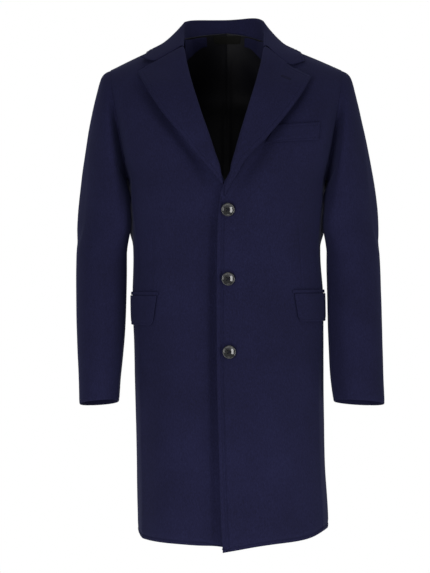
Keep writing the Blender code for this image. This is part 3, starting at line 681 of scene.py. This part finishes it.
# The purl's points, and how square its ends are: 1 is an oval, and 0 a rectangle.
PURL_STEPS, PURL_SQUARE = 40, 0.35


def silk(name):
    """Buttonhole twist: hard silk thread laid in close purls, which leave it nearly matt."""
    material, tree, shader = new_material(name)
    place = add(tree, "ShaderNodeTexCoord").outputs["Object"]
    # Real purls are 0.5 mm apart. They are drawn 0.7 mm apart so that they show.
    purls = add(tree, "ShaderNodeTexNoise", {"Scale": per_mm(0.7), "Detail": 2.0}, Vector=place)
    stops = [(0.3, "#0B0B19"), (0.7, "#151529")]
    shade = add(tree, "ShaderNodeValToRGB", stops=stops, Fac=purls.outputs["Fac"])
    tree.links.new(shade.outputs["Color"], shader.inputs["Base Color"])
    ridge = add(
        tree, "ShaderNodeBump", {"Strength": 0.5, "Distance": 0.2 * MM}, Height=purls.outputs["Fac"]
    )
    tree.links.new(ridge.outputs[0], shader.inputs["Normal"])
    shader.inputs["Roughness"].default_value = 0.8
    shader.inputs["Specular IOR Level"].default_value = 0.15
    return material


def thread(name, points, thickness, material, closed=False):
    """A length of thread through points in mm."""
    curve = bpy.data.curves.new(name, "CURVE")
    curve.dimensions = "3D"
    curve.bevel_depth = thickness / 2 * MM
    curve.bevel_resolution = 2
    curve.use_fill_caps = not closed
    spline = curve.splines.new("POLY")
    spline.points.add(len(points) - 1)
    for knot, point in zip(spline.points, points):
        knot.co = (*(Vector(point) * MM), 1)
    spline.use_cyclic_u = closed
    curve.materials.append(material)
    obj = bpy.data.objects.new(name, curve)
    bpy.context.scene.collection.objects.link(obj)
    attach(obj, "root")
    return obj


def surface_of(obj):
    """A tree of a finished piece's faces, to lay things on."""
    places = [vert.co.copy() for vert in obj.data.vertices]
    return BVHTree.FromPolygons(places, [tuple(face.vertices) for face in obj.data.polygons])


def laid_on(tree, x, z, over):
    """The point at (x, z) on the front of a surface, over it by some mm."""
    before = Vector((x * MM, -400 * MM, z * MM))
    hit, normal, _, _ = tree.ray_cast(before, Vector((0, 1, 0)))
    return (hit / MM) + normal * over


SILK_TWIST = silk("navy_silk_twist")
lapel_face = surface_of(turned["lapel_left"])
middle = (SLIT[0] + SLIT[1]) / 2
half_slit = (SLIT[1] - SLIT[0]).length / 2
right = (SLIT[1] - SLIT[0]).normalized()
up = Vector((-right.y, right.x))
purl = []
for step in range(PURL_STEPS):
    turn = 2 * math.pi * step / PURL_STEPS
    along = math.copysign(abs(math.cos(turn)) ** PURL_SQUARE, math.cos(turn)) * half_slit
    across = PURL_OUT * math.sin(turn)
    spot = middle + right * along + up * across
    purl.append(laid_on(lapel_face, spot.x, spot.y, PURL_OVER))
thread("lapel_buttonhole_purl", purl, PURL_THICKNESS, SILK_TWIST, closed=True)

# ---------------------------------------------------------------- pockets
# The chest pocket has a slanted welt, and each hip pocket a flap that hangs from under a
# narrow jet. All are melton, doubled, turned, pressed and stitched round.

# Each piece's flat cut (m), and the height that its free edge is below (mm).
POCKETS = [
    ("node", "width", "length", "area", "top"),
    ("chest_welt", 0.097, 0.036, 0.0031, 0),
    ("pocket_flap_left", 0.178, 0.058, 0.0099, -466),
    ("pocket_flap_right", 0.174, 0.058, 0.0097, -470),
    ("pocket_jet_left", 0.175, 0.010, 0.0014, None),
    ("pocket_jet_right", 0.170, 0.010, 0.0013, None),
]
for node, width, length, area, top in POCKETS[1:]:
    bm = copied(node)
    edge = cut_lines(bm, lambda x, y, z: top is not None and z < top)
    rounded(bm, radius=0.7)
    creases = BODY_CREASES + UNDER_LAPELS if node == "chest_welt" else BODY_CREASES
    worn = worn_in(piece(node + "_cloth", bm, NAVY_MELTON, CLOTH_LEVELS), creases)
    if top is not None:
        stitched(worn, edge, inset=4.5, groove=0.7, roll=0.8)
    side = "right" if node.endswith("right") else "left"
    sewn(worn, node)

# ---------------------------------------------------------------- neck facings, lining, label
# Inside the neck the wool facing ends, and a nearly black satin lining covers the back, with
# a pleat down its centre for ease. A bare tape label is tacked over them under the collar.


def satin(name):
    """Woven viscose satin: smooth, close threads that lie one way and shine along them."""
    material, tree, shader = new_material(name)
    place = add(tree, "ShaderNodeTexCoord").outputs["Object"]
    along = add(tree, "ShaderNodeMapping", {"Scale": (1.0, 1.0, 0.06)}, Vector=place)
    # Real threads are 0.1 mm apart. They are drawn 0.6 mm apart so that they show.
    threads = add(
        tree, "ShaderNodeTexNoise", {"Scale": per_mm(0.6), "Detail": 2.0}, Vector=along.outputs[0]
    )
    stops = [(0.3, "#050509"), (0.7, "#090912")]
    shade = add(tree, "ShaderNodeValToRGB", stops=stops, Fac=threads.outputs["Fac"])
    tree.links.new(shade.outputs["Color"], shader.inputs["Base Color"])
    ridge = add(
        tree, "ShaderNodeBump", {"Strength": 0.25, "Distance": 0.1 * MM}, Height=threads.outputs["Fac"]
    )
    tree.links.new(ridge.outputs[0], shader.inputs["Normal"])
    shader.inputs["Roughness"].default_value = 0.5
    shader.inputs["Specular IOR Level"].default_value = 0.3
    shader.inputs["Anisotropic"].default_value = 0.4
    return material


LINING_SATIN = satin("lining_satin")
for side in ("left", "right"):
    bm = copied(f"lining_{side}")
    grown(bm)
    rounded(bm, radius=0.4)
    lining = worn_in(piece(f"lining_{side}_cloth", bm, LINING_SATIN, CLOTH_LEVELS))
    sewn(
        lining,
        f"lining_{side}",
    )
    bm = copied(f"neck_facing_{side}")
    rounded(bm, radius=0.5)
    facing = worn_in(piece(f"neck_facing_{side}_cloth", bm, NAVY_MELTON, CLOTH_LEVELS))
    sewn(
        facing,
        f"neck_facing_{side}",
    )


def tape(name):
    """Woven polyester tape: a fine rib across, nearly black."""
    material, tree, shader = new_material(name)
    place = add(tree, "ShaderNodeTexCoord").outputs["Object"]
    # Real ribs are 0.3 mm apart. They are drawn 0.8 mm apart so that they show.
    ribs = add(
        tree,
        "ShaderNodeTexWave",
        {"Scale": per_mm(0.8) / (2 * math.pi), "bands_direction": "X", "Distortion": 0.4},
        Vector=place,
    )
    stops = [(0.2, "#0B0B09"), (0.8, "#13130F")]
    shade = add(tree, "ShaderNodeValToRGB", stops=stops, Fac=ribs.outputs["Fac"])
    tree.links.new(shade.outputs["Color"], shader.inputs["Base Color"])
    ridge = add(
        tree, "ShaderNodeBump", {"Strength": 0.4, "Distance": 0.15 * MM}, Height=ribs.outputs["Fac"]
    )
    tree.links.new(ridge.outputs[0], shader.inputs["Normal"])
    shader.inputs["Roughness"].default_value = 0.8
    shader.inputs["Specular IOR Level"].default_value = 0.2
    return material


LABEL_TAPE = tape("label_tape_weave")
bm = copied("neck_label")
rounded(bm, radius=0.25)
label = worn_in(piece("neck_label_cloth", bm, LABEL_TAPE, CLOTH_LEVELS))
sewn(
    label,
    "neck_label",
)

# ---------------------------------------------------------------- buttons
# Three dished four-hole buttons of polished dark horn, 25 mm across, turned on a lathe, drilled,
# and sewn through the left front with a crossed thread and a wound shank.

# Half of the button's section, from the dish outward over the rim: radius and height (mm).
BUTTON_SECTION = [
    (0, 1.6),
    (3.8, 1.65),
    (4.6, 1.8),
    (8.6, 2.9),
    (9.3, 3.2),
    (10.0, 4.0),
    (10.6, 4.4),
    (11.3, 4.5),
    (12.0, 4.1),
    (12.4, 3.3),
    (12.5, 2.5),
    (12.1, 1.8),
    (10.6, 0.9),
    (7.0, 0.3),
    (0, 0.2),
]
# The four holes, on a square: how far each is out both ways, how wide, and the drill (mm).
HOLE_OUT, HOLE_RADIUS = 2.5, 1.05
DRILL_LENGTH, DRILL_SIDES = 14, 16
# The section's height is measured from this far behind the middle of the button's disc.
FOOT_BEHIND = 1.9
# A stitch from hole to hole: its place, from one hole at 1 to the other at -1, and its height over
# the foot. The second stitch crosses over the first.
STITCH = [(1.0, 0.4), (0.98, 1.6), (0, 2.5), (-0.98, 1.6), (-1.0, 0.4)]
CROSSING = 0.35
# How far the wound shank reaches behind the foot at each of its points.
SHANK = (-0.4, 0.6, 1.4)
STITCH_THICKNESS, SHANK_THICKNESS = 1.1, 5.0


def horn(name):
    """Polished horn: nearly black, faintly streaked, under a clear buffed surface."""
    material, tree, shader = new_material(name)
    place = add(tree, "ShaderNodeTexCoord").outputs["Object"]
    grain = add(
        tree, "ShaderNodeMapping", {"Scale": (1.0, 1.0, 0.3), "Rotation": (0, 0.5, 0)}, Vector=place
    )
    streaks = add(
        tree,
        "ShaderNodeTexNoise",
        {"Scale": per_mm(5), "Detail": 3.0, "Distortion": 1.2},
        Vector=grain.outputs[0],
    )
    stops = [(0.35, "#030406"), (0.6, "#08090D"), (0.8, "#14151B")]
    shade = add(tree, "ShaderNodeValToRGB", stops=stops, Fac=streaks.outputs["Fac"])
    tree.links.new(shade.outputs["Color"], shader.inputs["Base Color"])
    shader.inputs["Roughness"].default_value = 0.12
    shader.inputs["IOR"].default_value = 1.56
    shader.inputs["Coat Weight"].default_value = 0.6
    shader.inputs["Coat Roughness"].default_value = 0.05
    shader.inputs["Coat IOR"].default_value = 1.6
    return material


def turned_button(section):
    """A bmesh turned round Z from half a section in mm."""
    bm = bmesh.new()
    line = [bm.verts.new((radius * MM, 0, height * MM)) for radius, height in section]
    edges = [bm.edges.new(pair) for pair in zip(line[:-1], line[1:])]
    bmesh.ops.spin(
        bm,
        geom=line + edges,
        cent=(0, 0, 0),
        axis=(0, 0, 1),
        angle=2 * math.pi,
        steps=48,
        use_merge=True,
    )
    bmesh.ops.remove_doubles(bm, verts=bm.verts, dist=0.001 * MM)
    bmesh.ops.recalc_face_normals(bm, faces=bm.faces)
    return bm


def drilled(obj, centre, facing, right, up):
    """Drills the four holes through a button."""
    drill = bmesh.new()
    for across, along in ((-1, -1), (-1, 1), (1, -1), (1, 1)):
        spot = centre + (right * across + up * along) * HOLE_OUT * MM
        pose = Matrix.Translation(spot) @ facing.to_track_quat("Z", "Y").to_matrix().to_4x4()
        bmesh.ops.create_cone(
            drill,
            cap_ends=True,
            segments=DRILL_SIDES,
            radius1=HOLE_RADIUS * MM,
            radius2=HOLE_RADIUS * MM,
            depth=DRILL_LENGTH * MM,
            matrix=pose,
        )
    cutter = piece("drill", drill, DARK_HORN)
    bore = obj.modifiers.new("bore", "BOOLEAN")
    bore.operation, bore.solver, bore.object = "DIFFERENCE", "EXACT", cutter
    shaped = obj.evaluated_get(bpy.context.evaluated_depsgraph_get())
    solid = bpy.data.meshes.new_from_object(shaped)
    obj.modifiers.clear()
    obj.data = solid
    bpy.data.objects.remove(cutter)
    solid.shade_smooth()
    solid.set_sharp_from_angle(angle=math.radians(40))


DARK_HORN = horn("dark_polished_horn")
for number in (1, 2, 3):
    # The button faces the way that its disc is thinnest, outwards.
    rim = np.array([vert.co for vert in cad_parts[f"button_{number}"].data.vertices])
    middle = Vector((rim.min(axis=0) + rim.max(axis=0)) / 2)
    facing = Vector(np.linalg.svd(rim - rim.mean(axis=0))[2][2])
    facing = -facing if facing.y > 0 else facing
    foot = middle - facing * FOOT_BEHIND * MM
    pose = Matrix.Translation(foot) @ facing.to_track_quat("Z", "Y").to_matrix().to_4x4()
    bm = turned_button(BUTTON_SECTION)
    bmesh.ops.transform(bm, matrix=pose, verts=bm.verts)
    button = piece(f"button_{number}_horn", bm, DARK_HORN)
    sideways = Vector((1, 0, 0))
    right = (sideways - facing * sideways.dot(facing)).normalized()
    up = facing.cross(right) * -1
    drilled(button, foot, facing, right, up)
    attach(button, "root")
    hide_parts(f"button_{number}")
    for i, (across, along) in enumerate(((1, 1), (1, -1))):
        hole = (right * across + up * along) * HOLE_OUT
        points = []
        for place, height in STITCH:
            over = height if place else height + CROSSING * i
            points.append(foot / MM + hole * place + facing * over)
        thread(f"button_{number}_thread_{i + 1}", points, STITCH_THICKNESS, SILK_TWIST)
    shank = [foot / MM - facing * depth for depth in SHANK]
    thread(f"button_{number}_shank", shank, SHANK_THICKNESS, SILK_TWIST)

# ---------------------------------------------------------------- room, light and camera
# A plain pale floor of matt paper under soft studio light: two tall softboxes in front, two
# behind, two weak ones above, one low down as the floor's bounce, and lit walls all round.

FLOOR_HEIGHT, FLOOR_RADIUS = -1.5, 2.4
bm = bmesh.new()
bmesh.ops.create_circle(bm, cap_ends=True, segments=96, radius=FLOOR_RADIUS)
bmesh.ops.translate(bm, verts=bm.verts, vec=(0, 0, FLOOR_HEIGHT))
paper, _, paper_shader = new_material("pale_paper")
paper_shader.inputs["Base Color"].default_value = colour("#E9E9E9")
paper_shader.inputs["Roughness"].default_value = 0.9
floor = piece("floor", bm, paper)

# The walls behind the coat are seen as white. They light it more dimly than they look.
WALL_GLOW = 0.3
world = bpy.data.worlds.new("studio")
bpy.context.scene.world = world
world.use_nodes = True
sky = world.node_tree
seen = add(sky, "ShaderNodeBackground", {"Color": (1, 1, 1, 1), "Strength": 1.0})
glow = add(sky, "ShaderNodeBackground", {"Color": (1, 1, 1, 1), "Strength": WALL_GLOW})
path = add(sky, "ShaderNodeLightPath")
both = add(sky, "ShaderNodeMixShader", Fac=path.outputs["Is Camera Ray"])
sky.links.new(glow.outputs[0], both.inputs[1])
sky.links.new(seen.outputs[0], both.inputs[2])
sky.links.new(both.outputs[0], sky.nodes["World Output"].inputs["Surface"])

# Each softbox: where it is and what it is aimed at (m), how large it is (m), and its power.
LIGHTS = [
    ("name", "place", "aim", "width", "height", "watts"),
    ("softbox_right", (2.6, -2.3, -0.95), (0, 0, -0.6), 1.2, 1.8, 34),
    ("softbox_left", (-1.35, -2.7, -0.7), (0, 0, -0.6), 0.9, 2.6, 38),
    ("above_front", (0, -1.3, 2.1), (0, 0, -0.3), 1.4, 0.6, 6),
    ("overhead", (0, 0.5, 1.6), (0, 0, -0.3), 1.2, 0.8, 4),
    ("behind_right", (0.5, 2.6, 0.3), (0, 0.1, -0.5), 0.8, 1.6, 17),
    ("behind_left", (-0.5, 2.6, 0.3), (0, 0.1, -0.5), 0.8, 1.6, 17),
    ("floor_bounce", (0, -0.8, -1.45), (0, -0.1, -0.6), 1.6, 0.6, 7),
]
for name, place, aim, width, height, watts in LIGHTS[1:]:
    lamp = bpy.data.lights.new(name, "AREA")
    lamp.shape = "RECTANGLE"
    lamp.size, lamp.size_y, lamp.energy = width, height, watts
    holder = bpy.data.objects.new(name, lamp)
    bpy.context.scene.collection.objects.link(holder)
    holder.location = place
    holder.rotation_euler = (Vector(aim) - Vector(place)).to_track_quat("-Z", "Y").to_euler()

# The camera looks level from in front, at the middle of the coat's height, through a long lens.
LENS_LENGTH, SENSOR_WIDTH = 122.3, 36
CAMERA_PLACE = (-0.0228, -3.7, -0.449)
lens = bpy.data.cameras.new("camera")
lens.lens = LENS_LENGTH
lens.sensor_width = SENSOR_WIDTH
camera = bpy.data.objects.new("camera", lens)
camera.location = CAMERA_PLACE
camera.rotation_euler = (math.radians(90), 0, 0)
bpy.context.scene.collection.objects.link(camera)
bpy.context.scene.camera = camera
bpy.context.scene.view_settings.view_transform = "Standard"
